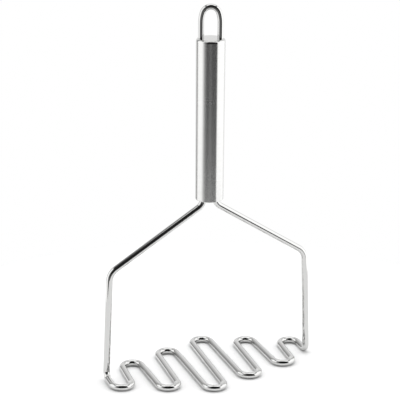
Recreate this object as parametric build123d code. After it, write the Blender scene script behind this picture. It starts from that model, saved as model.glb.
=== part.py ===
from build123d import *
from math import acos, cos, degrees, pi, radians, sin
import os

# Potato masher: one formed stainless rod for the head and frame, a hollow steel handle
# with a cap in each end, and a wire hanging loop.
# Millimetres. +Z is up the handle, X runs along the head from upright to upright.
# The origin is the middle of the head, on the surface that the head rests on.

# Mashing rod
ROD_DIAMETER = 4.5
LEG_PITCH = 14.8  # from one leg of the zigzag to the next
TURN_RADIUS = 6.85  # every turn of the zigzag, on the rod's centreline
# Front row of turns, from -X to +X: each from the X axis to the tip of the rod's centreline
FIRST_TURN_REACH = 20.9
SECOND_TURN_REACH = 31.1
THIRD_TURN_REACH = 41.1
FOURTH_TURN_REACH = 29.0
FIFTH_TURN_REACH = 16.7
FOOT_BEND_RADIUS = 5.0  # where an upright turns into the head
SHOULDER_HALF_WIDTH = 70.4  # from the middle to the corner of a shoulder
SHOULDER_HEIGHT = 77.3
SHOULDER_BEND_RADIUS = 10.0
NECK_HALF_SPACING = 4.5  # from the handle's axis to each rod where it enters the handle
NECK_DROP = 3.8  # from the handle's lower end down to the corner of the neck bend
NECK_BEND_RADIUS = 7.0
ROD_IN_HANDLE = 28.0  # length of each end above the handle's lower end

# Handle tube
HANDLE_BOTTOM_HEIGHT = 123.3
HANDLE_LENGTH = 111.0  # with its upper cap
HANDLE_TOP_DIAMETER = 19.5
HANDLE_BOTTOM_DIAMETER = 19.0
TUBE_WALL = 0.8
TUBE_EDGE_ROUND = 0.5  # lower mouth of the tube

# End caps
UPPER_CAP_SHOULDER_RADIUS = 1.7
UPPER_CAP_RIM = 0.3  # straight edge of the cap between its shoulder and the tube
UPPER_CAP_THICKNESS = 1.5
SPIGOT_LENGTH = 6.0  # part of the upper cap inside the tube
SPIGOT_WALL = 0.9
LOWER_CAP_THICKNESS = 2.0
LOWER_CAP_RECESS = 0.4  # the lower cap lies this far inside the tube's mouth

# Hanging loop
LOOP_WIRE_DIAMETER = 4.0
LOOP_HALF_SPACING = 6.35  # from the handle's axis to each leg
LOOP_SIDE_RADIUS = 20.0  # where each leg curves in towards the arch
LOOP_ARCH_RADIUS = 5.6
LOOP_HEIGHT = 23.0  # from the upper cap's flat top to the outside of the arch
LOOP_TURN = -20.0  # degrees about the handle, away from the plane of the uprights
LOOP_FOOT_BEND_RADIUS = 3.0
LOOP_FOOT_TIP = 2.2  # from the handle's axis to the end of each inward foot

# Clearances
CAP_CLEARANCE = 0.03  # each cap inside the tube, all round
HOLE_CLEARANCE = 0.05  # rod or loop wire in its hole, all round

TURN_REACHES = (
    FIRST_TURN_REACH,
    SECOND_TURN_REACH,
    THIRD_TURN_REACH,
    FOURTH_TURN_REACH,
    FIFTH_TURN_REACH,
)
ROD_RADIUS = ROD_DIAMETER / 2
LOOP_WIRE_RADIUS = LOOP_WIRE_DIAMETER / 2
HANDLE_TOP_HEIGHT = HANDLE_BOTTOM_HEIGHT + HANDLE_LENGTH
TUBE_TOP_HEIGHT = HANDLE_TOP_HEIGHT - UPPER_CAP_SHOULDER_RADIUS - UPPER_CAP_RIM
STANDING = (Align.CENTER, Align.CENTER, Align.MIN)  # a cylinder that stands on its base


def handle_radius(height):
    """Outer radius of the tapered handle at a height above the origin."""
    share = (height - HANDLE_BOTTOM_HEIGHT) / HANDLE_LENGTH
    return (HANDLE_BOTTOM_DIAMETER + (HANDLE_TOP_DIAMETER - HANDLE_BOTTOM_DIAMETER) * share) / 2


def bore_radius(height):
    """Inner radius of the handle tube at a height above the origin."""
    return handle_radius(height) - TUBE_WALL


def turn_centres():
    """Centres of the zigzag's turns from -X to +X: front, back, front and so on."""
    count = 2 * len(TURN_REACHES)
    centres = []
    for turn in range(count):
        x = (turn - (count - 1) / 2) * LEG_PITCH
        row = turn // 2
        # The back row is the front row turned half round the handle's axis
        reach = TURN_REACHES[row] if turn % 2 == 0 else TURN_REACHES[-1 - row]
        side = -1 if turn % 2 == 0 else 1
        centres.append(Vector(x, side * (reach - TURN_RADIUS), ROD_RADIUS))
    return centres


def leg_between(first, second, side):
    """Ends of the straight leg that crosses from the turn at first to the turn at second."""
    across = second - first
    swing = degrees(acos(2 * TURN_RADIUS / across.length))
    start = first + across.normalized().rotate(Axis.Z, side * swing) * TURN_RADIUS
    return start, first + second - start


def zigzag_edges():
    """Centreline of the flat head: arcs for the turns, joined by straight legs."""
    centres = turn_centres()
    reach_out = Vector(TURN_RADIUS, 0, 0)
    arrive = centres[0] - reach_out
    edges = []
    for turn, centre in enumerate(centres):
        side = -1 if turn % 2 == 0 else 1
        tip = centre + Vector(0, side * TURN_RADIUS, 0)
        if turn + 1 < len(centres):
            leave, far_end = leg_between(centre, centres[turn + 1], side)
            edges.append(Edge.make_three_point_arc(arrive, tip, leave))
            edges.append(Edge.make_line(leave, far_end))
            arrive = far_end
        else:
            edges.append(Edge.make_three_point_arc(arrive, tip, centre + reach_out))
    return edges


def side_edges():
    """Centreline of one side of the frame, from inside the handle to the first turn at -X."""
    first_turn = turn_centres()[0]
    foot_x = first_turn.X - TURN_RADIUS
    neck_height = HANDLE_BOTTOM_HEIGHT - NECK_DROP
    points = [
        (-NECK_HALF_SPACING, 0, HANDLE_BOTTOM_HEIGHT + ROD_IN_HANDLE),
        (-NECK_HALF_SPACING, 0, neck_height),
        (-SHOULDER_HALF_WIDTH, 0, SHOULDER_HEIGHT),
        (foot_x, 0, ROD_RADIUS),
        (foot_x, first_turn.Y, ROD_RADIUS),
    ]
    bends = [NECK_BEND_RADIUS, SHOULDER_BEND_RADIUS, FOOT_BEND_RADIUS]
    return FilletPolyline(*points, radius=bends).edges()


def round_bar(edges, diameter):
    """Solid round wire that follows joined centreline edges."""
    path = Wire(edges)
    start = Plane(path @ 0, z_dir=path % 0)
    section = start * Circle(diameter / 2)
    bar = sweep(section, path=path)
    exact = pi * diameter**2 / 4 * path.length
    print(f"wire {path.length:.1f} long, volume over section x length {bar.volume / exact:.5f}")
    return bar


def mashing_rod():
    """One rod: up both sides of the frame and through the whole zigzag."""
    left = side_edges()
    right = [edge.rotate(Axis.Z, 180) for edge in left]
    return round_bar([*left, *zigzag_edges(), *right], ROD_DIAMETER)


def handle_tube():
    """Thin tapered tube, open at both ends, its lower mouth rounded."""
    low = HANDLE_BOTTOM_HEIGHT
    high = TUBE_TOP_HEIGHT
    wall = Polyline(
        (bore_radius(low), low),
        (handle_radius(low), low),
        (handle_radius(high), high),
        (bore_radius(high), high),
        close=True,
    )
    section = make_face(Plane.XZ * wall)
    tube = revolve(section, Axis.Z)
    mouth = tube.edges().filter_by(GeomType.CIRCLE).group_by(Axis.Z)[0].sort_by(SortBy.RADIUS)[-1]
    return fillet(mouth, TUBE_EDGE_ROUND)


def wire_holes(half_spacing, wire_radius, low, high, turn):
    """Two upright cylinders that clear a pair of wires either side of the handle's axis."""
    hole_radius = wire_radius + HOLE_CLEARANCE
    drill = Cylinder(hole_radius, high - low, align=STANDING)
    pair = [Pos(side * half_spacing, 0, low) * drill for side in (-1, 1)]
    return [hole.rotate(Axis.Z, turn) for hole in pair]


def upper_end_cap():
    """Pressed cap with a rounded shoulder and a spigot that sits in the tube."""
    rim_radius = handle_radius(TUBE_TOP_HEIGHT)
    spigot_radius = bore_radius(TUBE_TOP_HEIGHT - SPIGOT_LENGTH) - CAP_CLEARANCE
    spigot_bore = spigot_radius - SPIGOT_WALL
    flat_radius = rim_radius - UPPER_CAP_SHOULDER_RADIUS
    shoulder_height = HANDLE_TOP_HEIGHT - UPPER_CAP_SHOULDER_RADIUS
    spigot_low = TUBE_TOP_HEIGHT - SPIGOT_LENGTH
    underside = HANDLE_TOP_HEIGHT - UPPER_CAP_THICKNESS
    bulge = UPPER_CAP_SHOULDER_RADIUS * sin(radians(45))
    on_shoulder = (flat_radius + bulge, shoulder_height + bulge)
    outline = [
        Line((0, HANDLE_TOP_HEIGHT), (flat_radius, HANDLE_TOP_HEIGHT)),
        ThreePointArc((flat_radius, HANDLE_TOP_HEIGHT), on_shoulder, (rim_radius, shoulder_height)),
        Polyline(
            (rim_radius, shoulder_height),
            (rim_radius, TUBE_TOP_HEIGHT),
            (spigot_radius, TUBE_TOP_HEIGHT),
            (spigot_radius, spigot_low),
            (spigot_bore, spigot_low),
            (spigot_bore, underside),
            (0, underside),
            (0, HANDLE_TOP_HEIGHT),
        ),
    ]
    edges = [Plane.XZ * edge for line in outline for edge in line.edges()]
    cap = revolve(make_face(edges), Axis.Z)
    holes = wire_holes(LOOP_HALF_SPACING, LOOP_WIRE_RADIUS, spigot_low, HANDLE_TOP_HEIGHT, LOOP_TURN)
    return cap - holes


def lower_end_cap():
    """Disc in the tube's lower mouth, with a hole for each end of the mashing rod."""
    low = HANDLE_BOTTOM_HEIGHT + LOWER_CAP_RECESS
    high = low + LOWER_CAP_THICKNESS
    disc_radius = bore_radius(low) - CAP_CLEARANCE
    disc = Pos(0, 0, low) * Cylinder(disc_radius, LOWER_CAP_THICKNESS, align=STANDING)
    return disc - wire_holes(NECK_HALF_SPACING, ROD_RADIUS, low, high, 0)


def hanging_loop():
    """Pointed arch of thinner wire whose feet turn in under the upper cap."""
    apex = HANDLE_TOP_HEIGHT + LOOP_HEIGHT - LOOP_WIRE_RADIUS
    # Each side arc is tangent to its leg below and to the arch above
    side_centre = LOOP_SIDE_RADIUS - LOOP_HALF_SPACING
    between_centres = LOOP_SIDE_RADIUS - LOOP_ARCH_RADIUS
    side_sweep = acos(side_centre / between_centres)
    spring_line = apex - LOOP_ARCH_RADIUS - between_centres * sin(side_sweep)
    on_side = [
        (side_centre - LOOP_SIDE_RADIUS * cos(angle), 0, spring_line + LOOP_SIDE_RADIUS * sin(angle))
        for angle in (0, side_sweep / 2, side_sweep)
    ]
    foot_height = HANDLE_TOP_HEIGHT - UPPER_CAP_THICKNESS - LOOP_FOOT_BEND_RADIUS
    leg = FilletPolyline(
        (-LOOP_FOOT_TIP, 0, foot_height),
        (-LOOP_HALF_SPACING, 0, foot_height),
        (-LOOP_HALF_SPACING, 0, spring_line),
        radius=[LOOP_FOOT_BEND_RADIUS],
    ).edges()
    half = [*leg, Edge.make_three_point_arc(*on_side)]
    other_half = [edge.mirror(Plane.YZ) for edge in half]
    arch_end = Vector(on_side[-1])
    arch = Edge.make_three_point_arc(arch_end, (0, 0, apex), (-arch_end.X, 0, arch_end.Z))
    return round_bar([*half, arch, *other_half], LOOP_WIRE_DIAMETER).rotate(Axis.Z, LOOP_TURN)


PIECES = {
    "mashing_rod": mashing_rod,
    "handle_tube": handle_tube,
    "lower_end_cap": lower_end_cap,
    "upper_end_cap": upper_end_cap,
    "hanging_loop": hanging_loop,
}

os.makedirs("parts", exist_ok=True)
for name, make in PIECES.items():
    export_step(make(), f"parts/{name}.step")
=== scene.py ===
import math

import bpy
from mathutils import Matrix, Vector


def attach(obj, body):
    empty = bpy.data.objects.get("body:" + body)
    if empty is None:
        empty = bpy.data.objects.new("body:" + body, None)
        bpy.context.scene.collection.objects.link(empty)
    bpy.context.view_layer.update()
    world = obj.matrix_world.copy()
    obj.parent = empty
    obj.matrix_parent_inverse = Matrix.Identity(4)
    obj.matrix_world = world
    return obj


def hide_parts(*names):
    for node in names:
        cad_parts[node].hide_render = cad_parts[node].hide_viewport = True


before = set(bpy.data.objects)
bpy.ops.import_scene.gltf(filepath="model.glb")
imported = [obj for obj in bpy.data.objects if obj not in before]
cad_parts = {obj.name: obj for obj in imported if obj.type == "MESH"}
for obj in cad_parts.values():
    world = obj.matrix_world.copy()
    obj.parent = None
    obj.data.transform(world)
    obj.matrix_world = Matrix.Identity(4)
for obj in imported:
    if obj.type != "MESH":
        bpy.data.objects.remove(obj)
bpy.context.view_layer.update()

# Potato masher: a bright formed stainless rod, a satin tube with polished caps, and a wire
# hanging loop, on a white floor in a white studio that is dark on the camera's side.
# Sizes are millimetres until MM turns them to Blender's metres, and angles are degrees.
MM = 0.001

# Mashing rod
ROD_DIAMETER = 4.5
LEG_PITCH = 14.8
TURN_RADIUS = 6.85
TURN_REACHES = (20.9, 31.1, 41.1, 29.0, 16.7)
FOOT_BEND_RADIUS = 5.0
SHOULDER_HALF_WIDTH = 70.4
SHOULDER_HEIGHT = 77.3
SHOULDER_BEND_RADIUS = 10.0
NECK_HALF_SPACING = 4.5
NECK_DROP = 3.8
NECK_BEND_RADIUS = 7.0
ROD_IN_HANDLE = 28.0

# Handle and its caps
HANDLE_BOTTOM_HEIGHT = 123.3
HANDLE_TOP_HEIGHT = 234.3
UPPER_CAP_THICKNESS = 1.5

# Hanging loop
LOOP_WIRE_DIAMETER = 4.0
LOOP_HALF_SPACING = 6.35
LOOP_SIDE_RADIUS = 20.0
LOOP_ARCH_RADIUS = 5.6
LOOP_HEIGHT = 23.0
LOOP_TURN = -20.0
LOOP_FOOT_BEND_RADIUS = 3.0
LOOP_FOOT_TIP = 2.2

# Fineness of the wires
ARC_STEP = 4.0  # degrees of bend from one ring of faces to the next
WIRE_SIDES = 40

# Patterns of the steel's surface. Those marked coarse are really about 0.05 apart, too fine to show
# at this size of picture, and are drawn as coarse as they need to show.
DRAW_LINE_SPACING = 0.5  # coarse
DRAW_LINE_LENGTH = 30.0
DRAW_LINE_DEPTH = 0.001
RIPPLE_LENGTH = 6.0
RIPPLE_DEPTH = 0.012
GRIND_LINE_SPACING = 0.8  # coarse
GRIND_LINE_LENGTH = 60.0
GRIND_LINE_DEPTH = 0.001
HAZE_PATCH_SIZE = 12.0
HAZE_SHARE = 0.3  # of the tube's change in gloss, the rest of which follows the lines
BUFF_MARK_SIZE = 1.2  # coarse
BUFF_MARK_DEPTH = 0.002

# Camera at the photograph's viewing angle, in the 400 x 400 frame
CAMERA_AIM = (-6.77, -0.39, 123.06)
CAMERA_AZIMUTH = -19.01  # round from looking along +Y
CAMERA_ELEVATION = 18.93
CAMERA_ROLL = 0.43
CAMERA_DISTANCE = 1200.0
CAMERA_LENS = 160.3
CAMERA_SENSOR = 36.0

# White room that the metal sees round the masher. Each row is a bearing to the right of the camera, the
# brightness there of the walls' lower part, of their upper part and of the gap above them, and the share
# of the ceiling that is lit. The camera's side is dark, which makes the black spots and lines on the rod.
# The wall on the left fades in, the one on the right starts at once, and the gap above both is dark.
ROOM = [
    (-180, 0.88, 0.72, 1.1, 1.0),
    (-143, 0.88, 0.72, 1.0, 1.0),
    (-136, 0.40, 0.40, 0.8, 1.0),
    (-121, 0.40, 0.40, 0.1, 1.0),
    (-114, 1.50, 1.50, 0.08, 1.0),
    (-72, 1.50, 1.50, 0.08, 1.0),
    (-62, 1.18, 1.18, 0.08, 1.0),
    (-54, 0.66, 0.66, 0.06, 0.8),
    (-46, 0.36, 0.36, 0.04, 0.4),
    (-38, 0.17, 0.17, 0.03, 0.0),
    (-28, 0.05, 0.05, 0.02, 0.0),
    (-20, 0.02, 0.02, 0.02, 0.0),
    (53, 0.02, 0.02, 0.02, 0.0),
    (59, 1.60, 1.60, 0.08, 1.0),
    (112, 1.60, 1.60, 0.08, 1.0),
    (125, 1.60, 1.50, 0.8, 1.0),
    (145, 1.05, 0.80, 1.1, 1.0),
    (165, 1.00, 0.75, 1.1, 1.0),
    (180, 0.88, 0.72, 1.1, 1.0),
]
# The parts of the room meet over these heights above the horizon
GROUND_EDGE = (-6.0, 0.0)
UPPER_WALL_EDGE = (18.0, 25.0)
GAP_EDGE = (46.0, 51.0)
CEILING_EDGE = (57.0, 61.0)
# The ceiling is lit on every bearing past this angle, which is 0 at the horizon below the camera, 90
# straight up and 180 at the horizon behind the masher
WHOLE_CEILING_EDGE = (79.0, 87.0)
CEILING_LEVEL = 1.5
# Below the horizon the ground adds to the walls' lower part. A strip of it right under the camera is a
# little lighter and shows down the tube. It fades out over these bearings, to either side of the camera.
GROUND_STRIP_EDGE = (4.0, 20.0)
GROUND_STRIP_LEVEL = 0.17
GROUND_LEVEL = 0.07
# The backdrop hangs straight behind the masher and ends between these angles from there
BACKDROP_EDGE = (30.0, 40.0)
BACKDROP_LEVEL = 1.0  # white

# Overhead lamp
LAMP_DIAMETER = 480.0
LAMP_HEIGHT = 450.0
LAMP_BEHIND = 60.0  # from the masher, away from the camera
LAMP_POWER = 0.9  # watts

# Table top, laid with white paper
TABLE_RADIUS = 250.0
TABLE_SIDES = 96
TABLE_GLOW = 0.3  # brings the lit paper to the backdrop's white
CONTACT_REACH = 5.0  # how far from the wires the glow is dimmed, as painted contact shade


def linear(hex_colour):
    """Linear colour of an sRGB hex value such as "#d8d8d6"."""
    channels = [int(hex_colour[i : i + 2], 16) / 255 for i in (1, 3, 5)]
    curve = [c / 12.92 if c <= 0.04045 else ((c + 0.055) / 1.055) ** 2.4 for c in channels]
    return (*curve, 1.0)


def add(tree, kind, inputs=None, **settings):
    """Adds a node with its settings, then fills its inputs with values or other nodes' outputs."""
    made = tree.nodes.new(kind)
    for key, value in settings.items():
        setattr(made, key, value)
    for socket, value in (inputs or {}).items():
        if isinstance(value, bpy.types.NodeSocket):
            tree.links.new(value, made.inputs[socket])
        else:
            made.inputs[socket].default_value = value
    return made


# Materials

def new_material(name):
    """Empty material and its tree."""
    material = bpy.data.materials.new(name)
    material.use_nodes = True
    material.node_tree.nodes.clear()
    return material, material.node_tree


def grain(tree, place, size, detail):
    """Noise from 0 to 1 whose marks are as long as size along x, y and z."""
    per_mark = tuple(1 / (length * MM) for length in size)
    scaled = add(tree, "ShaderNodeMapping", {"Vector": place, "Scale": per_mark})
    noise = add(tree, "ShaderNodeTexNoise", {"Vector": scaled.outputs[0], "Scale": 1.0, "Detail": detail})
    return noise.outputs["Fac"]


# Stainless wire, drawn through a die, bent cold and electropolished. To the eye it is a mirror: the white
# room shows as crisp pale and dark stripes along every bend. The stripes waver a little where drawing and
# bending left the wire not quite true, and faint die lines run the length of it.
def bright_drawn_stainless(name):
    material, tree = new_material(name)
    straight = add(tree, "ShaderNodeAttribute", attribute_name="straight_rod").outputs["Vector"]
    lines = grain(tree, straight, (DRAW_LINE_SPACING, DRAW_LINE_SPACING, DRAW_LINE_LENGTH), 3.0)
    ripple = grain(tree, straight, (RIPPLE_LENGTH, RIPPLE_LENGTH, RIPPLE_LENGTH), 2.0)
    colour = add(
        tree, "ShaderNodeMix",
        {"Factor": lines, "A": linear("#cacac9"), "B": linear("#d4d4d3")},
        data_type="RGBA",
    )
    roughness = add(tree, "ShaderNodeMapRange", {"Value": lines, "To Min": 0.02, "To Max": 0.06})
    die_lines = add(tree, "ShaderNodeBump", {"Height": lines, "Distance": DRAW_LINE_DEPTH * MM})
    not_quite_true = add(
        tree, "ShaderNodeBump",
        {"Height": ripple, "Distance": RIPPLE_DEPTH * MM, "Normal": die_lines.outputs[0]},
    )
    steel = add(
        tree, "ShaderNodeBsdfPrincipled",
        {
            "Base Color": colour.outputs["Result"],
            "Metallic": 1.0,
            "Roughness": roughness.outputs[0],
            "Normal": not_quite_true.outputs[0],
        },
    )
    add(tree, "ShaderNodeOutputMaterial", {"Surface": steel.outputs[0]})
    return material


# Stainless tube, ground round and round on a fine belt. To the eye it is satin: what it mirrors is smeared
# along the tube but stays sharp round it, so the dark room ahead shows as a soft grey band between white
# edges. Fine lines circle it, with a faint haze in patches where the belt was newer.
def satin_ground_stainless(name):
    material, tree = new_material(name)
    place = add(tree, "ShaderNodeTexCoord").outputs["Object"]
    lines = grain(tree, place, (GRIND_LINE_LENGTH, GRIND_LINE_LENGTH, GRIND_LINE_SPACING), 4.0)
    haze = grain(tree, place, (HAZE_PATCH_SIZE, HAZE_PATCH_SIZE, HAZE_PATCH_SIZE), 2.0)
    colour = add(
        tree, "ShaderNodeMix",
        {"Factor": lines, "A": linear("#c6c6c5"), "B": linear("#d8d8d7")},
        data_type="RGBA",
    )
    wear = add(tree, "ShaderNodeMix", {"Factor": HAZE_SHARE, "A": lines, "B": haze}, data_type="FLOAT")
    roughness = add(
        tree, "ShaderNodeMapRange", {"Value": wear.outputs["Result"], "To Min": 0.258, "To Max": 0.282}
    )
    belt_lines = add(tree, "ShaderNodeBump", {"Height": lines, "Distance": GRIND_LINE_DEPTH * MM})
    round_the_tube = add(tree, "ShaderNodeTangent", direction_type="RADIAL", axis="Z")
    steel = add(
        tree, "ShaderNodeBsdfPrincipled",
        {
            "Base Color": colour.outputs["Result"],
            "Metallic": 1.0,
            "Roughness": roughness.outputs[0],
            "Anisotropic": 0.9,
            "Anisotropic Rotation": 0.25,
            "Tangent": round_the_tube.outputs[0],
            "Normal": belt_lines.outputs[0],
        },
    )
    add(tree, "ShaderNodeOutputMaterial", {"Surface": steel.outputs[0]})
    return material


# Stainless sheet, pressed into a cap and buffed on a cloth wheel. To the eye it is nearly a mirror, a shade
# softer than the rod, with a light mottle of buffing marks that shows on the flat top.
def buffed_pressed_stainless(name):
    material, tree = new_material(name)
    place = add(tree, "ShaderNodeTexCoord").outputs["Object"]
    marks = grain(tree, place, (BUFF_MARK_SIZE, BUFF_MARK_SIZE, BUFF_MARK_SIZE), 3.0)
    colour = add(
        tree, "ShaderNodeMix",
        {"Factor": marks, "A": linear("#cacac9"), "B": linear("#d4d4d3")},
        data_type="RGBA",
    )
    roughness = add(tree, "ShaderNodeMapRange", {"Value": marks, "To Min": 0.05, "To Max": 0.12})
    buffing = add(tree, "ShaderNodeBump", {"Height": marks, "Distance": BUFF_MARK_DEPTH * MM})
    steel = add(
        tree, "ShaderNodeBsdfPrincipled",
        {
            "Base Color": colour.outputs["Result"],
            "Metallic": 1.0,
            "Roughness": roughness.outputs[0],
            "Normal": buffing.outputs[0],
        },
    )
    add(tree, "ShaderNodeOutputMaterial", {"Surface": steel.outputs[0]})
    return material


# Paths of the wires

def arc(centre, right, up, start, end):
    """Points round an arc from one angle to another; right and up are its radius at 0 and at 90 degrees."""
    steps = max(2, math.ceil(math.degrees(abs(end - start)) / ARC_STEP))
    angles = [start + (end - start) * step / steps for step in range(steps + 1)]
    return [centre + right * math.cos(angle) + up * math.sin(angle) for angle in angles]


def bent(corners, radii):
    """Points along straight runs whose inner corners are rounded to the given radii."""
    points = [Vector(corners[0])]
    for before, corner, after, radius in zip(corners, corners[1:], corners[2:], radii):
        corner = Vector(corner)
        back = (Vector(before) - corner).normalized()
        onward = (Vector(after) - corner).normalized()
        turn = math.pi - back.angle(onward)
        centre = corner + (back + onward).normalized() * radius / math.cos(turn / 2)
        first_arm = corner + back * radius * math.tan(turn / 2) - centre
        points += arc(centre, first_arm, -back * radius, 0.0, turn)
    points.append(Vector(corners[-1]))
    return points


def zigzag():
    """Points along the flat head from the left foot to the right foot: arcs joined by straight legs."""
    count = 2 * len(TURN_REACHES)
    turns = []
    for number in range(count):
        x = (number - (count - 1) / 2) * LEG_PITCH
        # The back row is the front row turned half round
        at_front = number % 2 == 0
        reach = TURN_REACHES[number // 2] if at_front else TURN_REACHES[-1 - number // 2]
        side = -1 if at_front else 1
        turns.append((x, side * (reach - TURN_RADIUS), side))
    # Each leg leans by the same angle at both ends, so a turn is this much short of a half circle
    leans = [0.0]
    for (_, first_y, _), (_, second_y, _) in zip(turns, turns[1:]):
        across = abs(second_y - first_y)
        steepness = math.atan2(across, LEG_PITCH)
        leans.append(steepness - math.acos(2 * TURN_RADIUS / math.hypot(LEG_PITCH, across)))
    leans.append(0.0)
    points = []
    for (x, y, side), lean_in, lean_out in zip(turns, leans, leans[1:]):
        centre = Vector((x, y, ROD_DIAMETER / 2))
        right = Vector((TURN_RADIUS, 0, 0))
        outward = Vector((0, side * TURN_RADIUS, 0))
        points += arc(centre, right, outward, math.pi - lean_in, lean_out)
    return points


def rod_path():
    """Centreline of the mashing rod from one end inside the handle to the other."""
    head = zigzag()
    foot = head[0]
    side = bent(
        [
            (-NECK_HALF_SPACING, 0, HANDLE_BOTTOM_HEIGHT + ROD_IN_HANDLE),
            (-NECK_HALF_SPACING, 0, HANDLE_BOTTOM_HEIGHT - NECK_DROP),
            (-SHOULDER_HALF_WIDTH, 0, SHOULDER_HEIGHT),
            (foot.x, 0, ROD_DIAMETER / 2),
            foot,
        ],
        [NECK_BEND_RADIUS, SHOULDER_BEND_RADIUS, FOOT_BEND_RADIUS],
    )
    other_side = [Vector((-p.x, -p.y, p.z)) for p in reversed(side)]
    return side[:-1] + head + other_side[1:]


def loop_path():
    """Centreline of the hanging loop from one turned-in foot to the other."""
    right = Vector((1, 0, 0))
    up = Vector((0, 0, 1))
    arch_centre = up * (HANDLE_TOP_HEIGHT + LOOP_HEIGHT - LOOP_WIRE_DIAMETER / 2 - LOOP_ARCH_RADIUS)
    # Each side curves in over a large radius that is tangent to the tighter arch
    side_out = LOOP_SIDE_RADIUS - LOOP_HALF_SPACING
    between_centres = LOOP_SIDE_RADIUS - LOOP_ARCH_RADIUS
    sweep = math.acos(side_out / between_centres)
    side_centre = arch_centre + right * side_out - up * between_centres * math.sin(sweep)
    foot_height = HANDLE_TOP_HEIGHT - UPPER_CAP_THICKNESS - LOOP_FOOT_BEND_RADIUS
    leg = bent(
        [
            (-LOOP_FOOT_TIP, 0, foot_height),
            (-LOOP_HALF_SPACING, 0, foot_height),
            (-LOOP_HALF_SPACING, 0, side_centre.z),
        ],
        [LOOP_FOOT_BEND_RADIUS],
    )
    side = arc(side_centre, right * LOOP_SIDE_RADIUS, up * LOOP_SIDE_RADIUS, math.pi, math.pi - sweep)
    arch = arc(arch_centre, right * LOOP_ARCH_RADIUS, up * LOOP_ARCH_RADIUS, math.pi - sweep, sweep)
    half = leg + side[1:]
    other_half = [Vector((-p.x, p.y, p.z)) for p in reversed(half)]
    turned = Matrix.Rotation(math.radians(LOOP_TURN), 3, "Z")
    return [turned @ p for p in half + arch[1:-1] + other_half]


# Wires

def wire_tree():
    """Geometry Nodes that sweep a round section along the object's edges."""
    tree = bpy.data.node_groups.new("drawn_wire", "GeometryNodeTree")
    interface = tree.interface
    interface.new_socket("Path", in_out="INPUT", socket_type="NodeSocketGeometry")
    interface.new_socket("Diameter", in_out="INPUT", socket_type="NodeSocketFloat")
    interface.new_socket("Sides", in_out="INPUT", socket_type="NodeSocketInt")
    interface.new_socket("Finish", in_out="INPUT", socket_type="NodeSocketMaterial")
    interface.new_socket("Wire", in_out="OUTPUT", socket_type="NodeSocketGeometry")
    given = add(tree, "NodeGroupInput").outputs
    path = add(tree, "GeometryNodeMeshToCurve", {"Mesh": given["Path"]})
    length = add(tree, "GeometryNodeSplineParameter")
    marked_path = add(
        tree, "GeometryNodeStoreNamedAttribute",
        {"Geometry": path.outputs[0], "Name": "run", "Value": length.outputs["Length"]},
        data_type="FLOAT", domain="POINT",
    )
    radius = add(tree, "ShaderNodeMath", {0: given["Diameter"], 1: 0.5}, operation="MULTIPLY")
    section = add(
        tree, "GeometryNodeCurvePrimitiveCircle",
        {"Resolution": given["Sides"], "Radius": radius.outputs[0]},
    )
    spot = add(tree, "GeometryNodeInputPosition")
    marked_section = add(
        tree, "GeometryNodeStoreNamedAttribute",
        {"Geometry": section.outputs[0], "Name": "section", "Value": spot.outputs[0]},
        data_type="FLOAT_VECTOR", domain="POINT",
    )
    swept = add(
        tree, "GeometryNodeCurveToMesh",
        {"Curve": marked_path.outputs[0], "Profile Curve": marked_section.outputs[0], "Fill Caps": True},
    )
    # Where each point would be on the wire before it was bent, for the finish to follow
    run = add(tree, "GeometryNodeInputNamedAttribute", {"Name": "run"}, data_type="FLOAT")
    across = add(tree, "GeometryNodeInputNamedAttribute", {"Name": "section"}, data_type="FLOAT_VECTOR")
    parts = add(tree, "ShaderNodeSeparateXYZ", {"Vector": across.outputs[0]})
    straight = add(
        tree, "ShaderNodeCombineXYZ",
        {"X": parts.outputs["X"], "Y": parts.outputs["Y"], "Z": run.outputs[0]},
    )
    stored = add(
        tree, "GeometryNodeStoreNamedAttribute",
        {"Geometry": swept.outputs[0], "Name": "straight_rod", "Value": straight.outputs[0]},
        data_type="FLOAT_VECTOR", domain="POINT",
    )
    smooth = add(tree, "GeometryNodeSetShadeSmooth", {"Geometry": stored.outputs[0]})
    real = add(tree, "GeometryNodeRealizeInstances", {"Geometry": smooth.outputs[0]})
    finished = add(
        tree, "GeometryNodeSetMaterial", {"Geometry": real.outputs[0], "Material": given["Finish"]}
    )
    add(tree, "NodeGroupOutput", {"Wire": finished.outputs[0]})
    return tree


def wire_piece(name, path, diameter, finish, tree):
    """Plain mesh of a wire that follows path, made by the wire tree."""
    guide = bpy.data.meshes.new(name + "_path")
    edges = [(i, i + 1) for i in range(len(path) - 1)]
    guide.from_pydata([p * MM for p in path], edges, [])
    maker = bpy.data.objects.new(name + "_maker", guide)
    bpy.context.scene.collection.objects.link(maker)
    modifier = maker.modifiers.new("drawn_wire", "NODES")
    modifier.node_group = tree
    values = {"Diameter": diameter * MM, "Sides": WIRE_SIDES, "Finish": finish}
    # These are set before the maker is first evaluated
    for item in tree.interface.items_tree:
        if item.in_out == "INPUT" and item.name in values:
            modifier[item.identifier] = values[item.name]
    bpy.context.view_layer.update()
    evaluated = maker.evaluated_get(bpy.context.evaluated_depsgraph_get())
    mesh = bpy.data.meshes.new_from_object(evaluated)
    bpy.data.objects.remove(maker)
    piece = bpy.data.objects.new(name, mesh)
    bpy.context.scene.collection.objects.link(piece)
    return piece


# Studio

def seen_white(tree, in_metal):
    """1 for rays from the camera, and the share in_metal for rays off metal and through glass; else 0."""
    ray = add(tree, "ShaderNodeLightPath").outputs
    shiny = add(
        tree, "ShaderNodeMath",
        {0: ray["Is Glossy Ray"], 1: ray["Is Transmission Ray"]},
        operation="MAXIMUM",
    )
    shown = add(tree, "ShaderNodeMath", {0: shiny.outputs[0], 1: in_metal}, operation="MULTIPLY")
    seen = add(tree, "ShaderNodeMath", {0: ray["Is Camera Ray"], 1: shown.outputs[0]}, operation="MAXIMUM")
    return seen.outputs[0]


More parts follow.
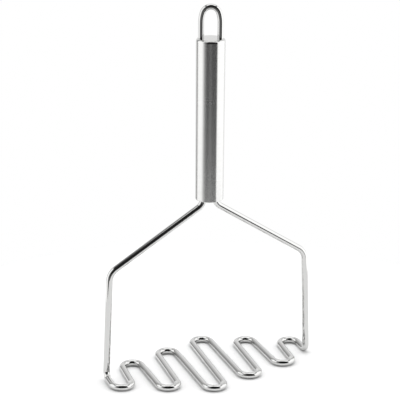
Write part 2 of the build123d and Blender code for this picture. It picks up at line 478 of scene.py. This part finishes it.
def room_angles(tree):
    """Angles of a ray in degrees, by name."""
    direction = add(tree, "ShaderNodeTexCoord").outputs["Generated"]
    facing = add(
        tree, "ShaderNodeMapping",
        {"Vector": direction, "Rotation": (0.0, 0.0, math.radians(-CAMERA_AZIMUTH))},
    )
    right, behind, up = add(tree, "ShaderNodeSeparateXYZ", {"Vector": facing.outputs[0]}).outputs
    ahead = add(tree, "ShaderNodeMath", {0: behind, 1: -1.0}, operation="MULTIPLY").outputs[0]
    found = {
        # To the right of the camera
        "bearing": add(tree, "ShaderNodeMath", {0: right, 1: ahead}, operation="ARCTAN2"),
        # Above the horizon
        "height": add(tree, "ShaderNodeMath", {0: up}, operation="ARCSINE"),
        # From the horizon below the camera, up and over the masher
        "over": add(tree, "ShaderNodeMath", {0: up, 1: ahead}, operation="ARCTAN2"),
        # From straight behind the masher
        "from_behind": add(tree, "ShaderNodeMath", {0: behind}, operation="ARCCOSINE"),
    }
    return {
        name: add(tree, "ShaderNodeMath", {0: angle.outputs[0]}, operation="DEGREES").outputs[0]
        for name, angle in found.items()
    }


def room_row(tree, bearing):
    """The row of ROOM at a bearing: lower wall, upper wall, gap and the share of the ceiling that is lit."""
    turn = add(tree, "ShaderNodeMapRange", {"Value": bearing, "From Min": -180.0, "From Max": 180.0})
    table = add(tree, "ShaderNodeValToRGB", {"Fac": turn.outputs[0]})
    stops = table.color_ramp.elements
    for spare in list(stops)[1:]:
        stops.remove(spare)
    for index, (degrees, *row) in enumerate(ROOM):
        place = (degrees + 180) / 360
        stop = stops[0] if index == 0 else stops.new(place)
        stop.position = place
        stop.color = row
    levels = add(tree, "ShaderNodeSeparateColor", {"Color": table.outputs["Color"]})
    return (*levels.outputs, table.outputs["Alpha"])


def ceiling(tree, over, share):
    """Brightness of the ceiling: by share up to the edge overhead, and whole past it."""
    start, end = WHOLE_CEILING_EDGE
    whole = add(
        tree, "ShaderNodeMapRange",
        {"Value": over, "From Min": start, "From Max": end},
        interpolation_type="SMOOTHSTEP",
    )
    lit = add(tree, "ShaderNodeMath", {0: share, 1: whole.outputs[0]}, operation="MAXIMUM")
    level = add(tree, "ShaderNodeMath", {0: lit.outputs[0], 1: CEILING_LEVEL}, operation="MULTIPLY")
    return level.outputs[0]


def ground(tree, bearing):
    """Brightness that the ground adds, with the lighter strip under the camera."""
    start, end = GROUND_STRIP_EDGE
    off_centre = add(tree, "ShaderNodeMath", {0: bearing}, operation="ABSOLUTE")
    strip = add(
        tree, "ShaderNodeMapRange",
        {
            "Value": off_centre.outputs[0],
            "From Min": start,
            "From Max": end,
            "To Min": GROUND_STRIP_LEVEL,
            "To Max": GROUND_LEVEL,
        },
        interpolation_type="SMOOTHSTEP",
    )
    return strip.outputs[0]


def room_level(tree, angles):
    """Brightness of the room along a ray, put together from the ground up."""
    lower_wall, upper_wall, gap, ceiling_share = room_row(tree, angles["bearing"])
    on_ground = ground(tree, angles["bearing"])
    lowest = add(tree, "ShaderNodeMath", {0: lower_wall, 1: on_ground}, operation="ADD")
    level = lowest.outputs[0]
    for (start, end), above in (
        (GROUND_EDGE, lower_wall),
        (UPPER_WALL_EDGE, upper_wall),
        (GAP_EDGE, gap),
        (CEILING_EDGE, ceiling(tree, angles["over"], ceiling_share)),
    ):
        blended = add(
            tree, "ShaderNodeMapRange",
            {
                "Value": angles["height"],
                "From Min": start,
                "From Max": end,
                "To Min": level,
                "To Max": above,
            },
            interpolation_type="SMOOTHSTEP",
        )
        level = blended.outputs[0]
    return level


def white_studio():
    """World that the camera sees as plain white and the metal sees as a white room with a dark side."""
    world = bpy.data.worlds.new("white_studio")
    bpy.context.scene.world = world
    world.use_nodes = True
    tree = world.node_tree
    tree.nodes.clear()
    white = linear("#ffffff")
    angles = room_angles(tree)
    room = add(tree, "ShaderNodeBackground", {"Color": white, "Strength": room_level(tree, angles)})
    backdrop = add(tree, "ShaderNodeBackground", {"Color": white, "Strength": BACKDROP_LEVEL})
    # The camera sees the backdrop everywhere, metal and glass only where it hangs
    whole, gone = BACKDROP_EDGE
    hangs_there = add(
        tree, "ShaderNodeMapRange",
        {"Value": angles["from_behind"], "From Min": whole, "From Max": gone, "To Min": 1.0, "To Max": 0.0},
        interpolation_type="SMOOTHSTEP",
    )
    seen = seen_white(tree, hangs_there.outputs[0])
    both = add(tree, "ShaderNodeMixShader", {"Fac": seen, 1: room.outputs[0], 2: backdrop.outputs[0]})
    add(tree, "ShaderNodeOutputWorld", {"Surface": both.outputs[0]})


def overhead_lamp():
    """Round soft box above and a little behind, which draws the narrow shadow under each wire."""
    data = bpy.data.lights.new("overhead_lamp", "AREA")
    data.shape = "DISK"
    data.size = LAMP_DIAMETER * MM
    data.energy = LAMP_POWER
    lamp = bpy.data.objects.new("overhead_lamp", data)
    bpy.context.scene.collection.objects.link(lamp)
    away = math.radians(-CAMERA_AZIMUTH)
    lamp.location = Vector((LAMP_BEHIND * math.sin(away), LAMP_BEHIND * math.cos(away), LAMP_HEIGHT)) * MM
    # The metal sees the ceiling, not the lamp, which would blow out every wire's top edge
    lamp.visible_glossy = False


# White paper, smooth and uncoated. To the eye it is an even matt white that takes only soft shadows. Its
# glow lifts it to the backdrop's white. Close under the wires ambient occlusion dims the glow: painted shade
# that darkens the contact shadow.
def matt_white_paper(name):
    material, tree = new_material(name)
    paper = add(tree, "ShaderNodeBsdfDiffuse", {"Color": linear("#dcdcdc")})
    # Ambient occlusion here is painted shade: it dims the glow close under the wires
    open_air = add(tree, "ShaderNodeAmbientOcclusion", {"Distance": CONTACT_REACH * MM})
    seen = seen_white(tree, 1.0)
    clear = add(tree, "ShaderNodeMath", {0: seen, 1: open_air.outputs["AO"]}, operation="MULTIPLY")
    strength = add(tree, "ShaderNodeMath", {0: clear.outputs[0], 1: TABLE_GLOW}, operation="MULTIPLY")
    glow = add(tree, "ShaderNodeEmission", {"Color": linear("#ffffff"), "Strength": strength.outputs[0]})
    surface = add(tree, "ShaderNodeAddShader", {0: paper.outputs[0], 1: glow.outputs[0]})
    add(tree, "ShaderNodeOutputMaterial", {"Surface": surface.outputs[0]})
    return material


def white_floor():
    """Round table top that runs out into the backdrop and keeps the contact shadow."""
    angles = [math.tau * side / TABLE_SIDES for side in range(TABLE_SIDES)]
    rim = [Vector((math.cos(angle), math.sin(angle), 0.0)) * TABLE_RADIUS * MM for angle in angles]
    mesh = bpy.data.meshes.new("floor")
    mesh.from_pydata(rim, [], [tuple(range(TABLE_SIDES))])
    mesh.materials.append(matt_white_paper("matt_white_paper"))
    floor = bpy.data.objects.new("floor", mesh)
    bpy.context.scene.collection.objects.link(floor)


def photograph_camera():
    """Camera at the photograph's viewing angle."""
    data = bpy.data.cameras.new("camera")
    data.sensor_width = CAMERA_SENSOR
    data.lens = CAMERA_LENS
    camera = bpy.data.objects.new("camera", data)
    bpy.context.scene.collection.objects.link(camera)
    azimuth = math.radians(CAMERA_AZIMUTH)
    elevation = math.radians(CAMERA_ELEVATION)
    back = Vector(
        (
            math.sin(azimuth) * math.cos(elevation),
            -math.cos(azimuth) * math.cos(elevation),
            math.sin(elevation),
        )
    )
    camera.location = (Vector(CAMERA_AIM) + back * CAMERA_DISTANCE) * MM
    camera.rotation_mode = "QUATERNION"
    level = (-back).to_track_quat("-Z", "Y")
    camera.rotation_quaternion = level @ Matrix.Rotation(math.radians(CAMERA_ROLL), 3, "Z").to_quaternion()
    bpy.context.scene.camera = camera


photograph_camera()
white_studio()
overhead_lamp()
white_floor()

polished_rod = bright_drawn_stainless("bright_drawn_stainless_rod")
loop_wire = bright_drawn_stainless("bright_drawn_stainless_loop")
satin_tube = satin_ground_stainless("satin_ground_stainless_tube")
cap_steel = buffed_pressed_stainless("buffed_pressed_stainless_caps")

drawn_wire = wire_tree()
rod = wire_piece("formed_mashing_rod", rod_path(), ROD_DIAMETER, polished_rod, drawn_wire)
loop = wire_piece("bent_hanging_loop", loop_path(), LOOP_WIRE_DIAMETER, loop_wire, drawn_wire)
for piece, node_name, slot in ((rod, "mashing_rod", "polished_rod"), (loop, "hanging_loop", "loop_wire")):
    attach(piece, "root")
    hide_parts(node_name)

for node_name, finish in (
    ("handle_tube", satin_tube),
    ("lower_end_cap", cap_steel),
    ("upper_end_cap", cap_steel),
):
    for material_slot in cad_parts[node_name].material_slots:
        material_slot.material = finish

bpy.context.scene.view_settings.view_transform = "Standard"
